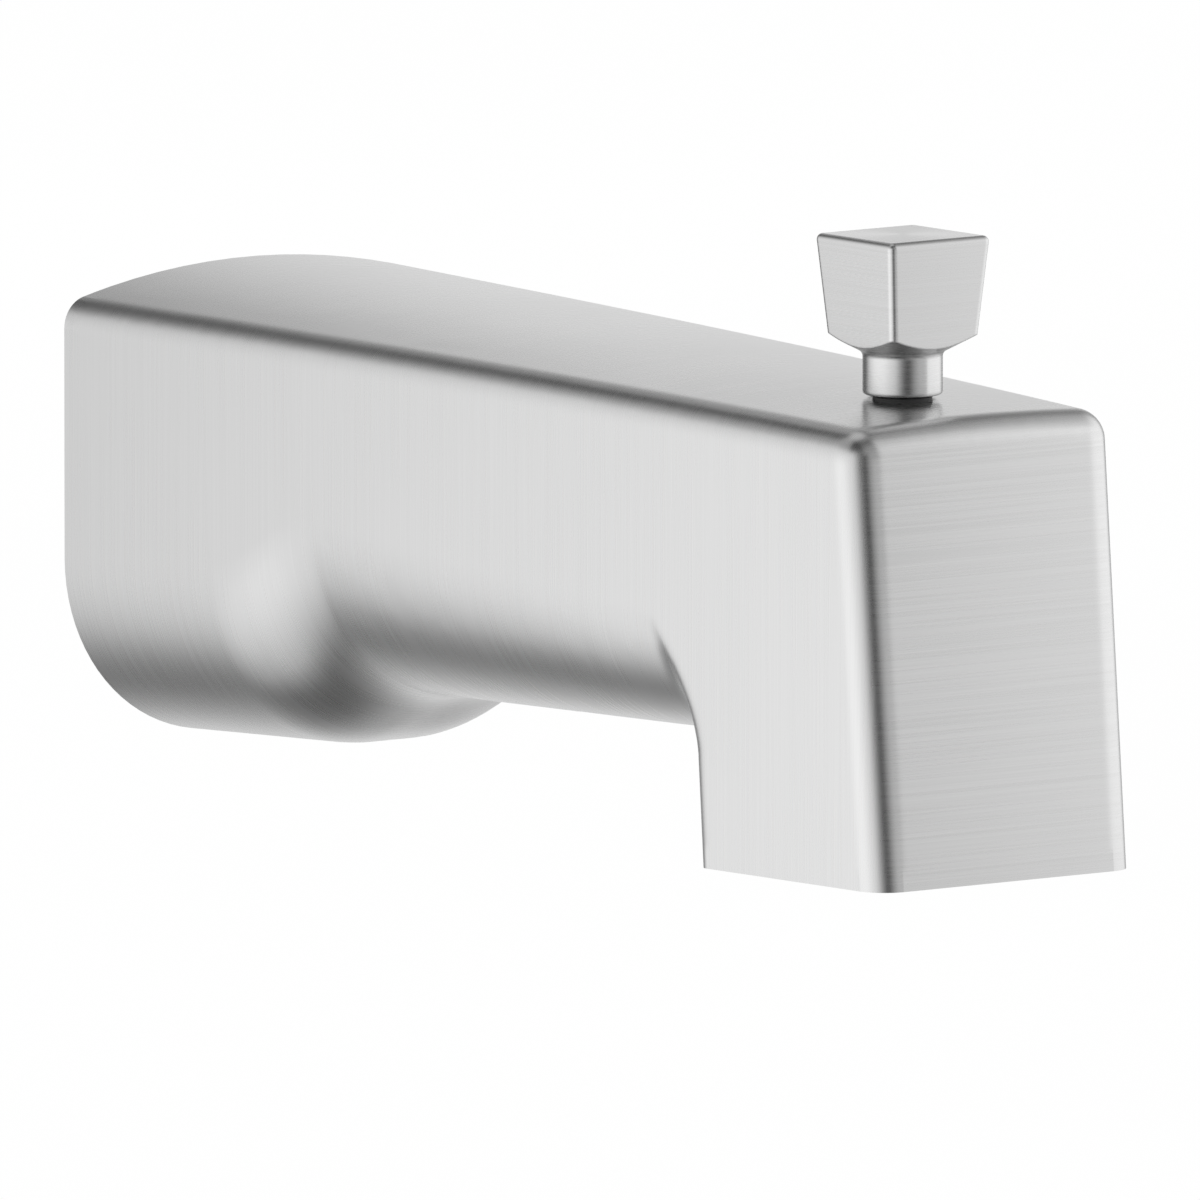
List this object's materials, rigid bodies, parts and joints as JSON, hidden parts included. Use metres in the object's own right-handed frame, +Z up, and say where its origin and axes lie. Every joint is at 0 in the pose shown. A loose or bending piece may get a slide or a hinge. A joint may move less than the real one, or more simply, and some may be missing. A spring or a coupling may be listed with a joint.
{
  "type": "bath spout",
  "caption": "Tapered square bath spout with a crowned top, a rounded wall boss, a short downspout and a pull-up diverter knob, slipped onto a copper pipe.",
  "frame": {"origin": "on the inlet pipe's axis, at the wall plane where the casting's rim meets the wall", "axes": "+X out from the wall along the spout, +Y across it, +Z up"},
  "size_m": [0.178, 0.0662, 0.0897],
  "materials": {
    "brushed_nickel": "brushed nickel plate over a casting",
    "brushed_nickel_knob": "brushed nickel plate, turned stem",
    "dark_plastic": "matt black",
    "turned_brass": "turned",
    "drawn_brass": "drawn tube",
    "seal_rubber": "matt black rubber",
    "screw_steel": "plain stainless",
    "rod_steel": "ground stainless",
    "guide_plastic": "moulded acetal",
    "gate_plastic": "moulded dark grey"
  },
  "bodies": {
    "spout": {"spout_body": "brushed_nickel", "inlet_adapter": "turned_brass", "inlet_oring_rear": "seal_rubber", "inlet_oring_front": "seal_rubber", "set_screw": "screw_steel", "waterway_tube": "drawn_brass", "gate_guide": "guide_plastic", "stem_bushing": "dark_plastic", "stem_oring": "seal_rubber"},
    "diverter": {"lift_knob": "brushed_nickel_knob", "lift_rod": "rod_steel", "diverter_gate": "gate_plastic", "gate_seal": "seal_rubber", "gate_pin": "screw_steel"}
  },
  "joints": [
    {"name": "diverter_lift", "type": "slide", "parent": "spout", "child": "diverter", "axis": [0, 0, 1], "range_m": [0, 0.0145]}
  ]
}
